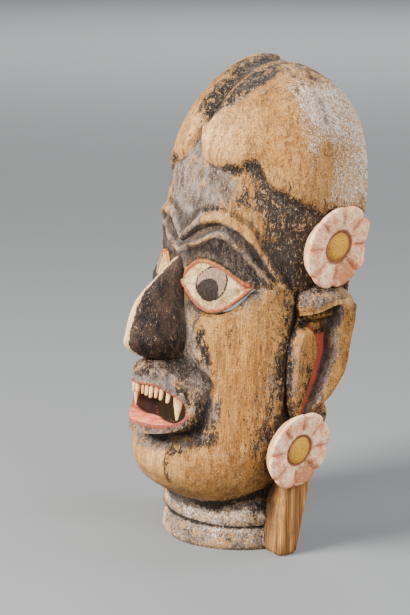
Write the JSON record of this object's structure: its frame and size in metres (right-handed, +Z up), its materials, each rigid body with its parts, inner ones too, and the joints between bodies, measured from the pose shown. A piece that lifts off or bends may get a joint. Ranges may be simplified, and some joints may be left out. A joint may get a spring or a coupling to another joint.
{
  "type": "cham dance mask",
  "caption": "Carved, painted wooden dance mask with bulging eyes, hooked nose, bared teeth, ears and flower rosettes, hollow and open behind, standing on its cut neck.",
  "frame": {"origin": "centre of the bounding box, at the level of the cut foot", "axes": "+Z up, the face looks to -Y, the mask's own left side is +X"},
  "size_m": [0.204, 0.2058, 0.4172],
  "materials": {
    "painted_wood": "worn polychrome paint over carved wood: ochre, black, pink-white and red, chipped to bare wood"
  },
  "bodies": {
    "root": {"mask": "painted_wood"}
  },
  "joints": []
}
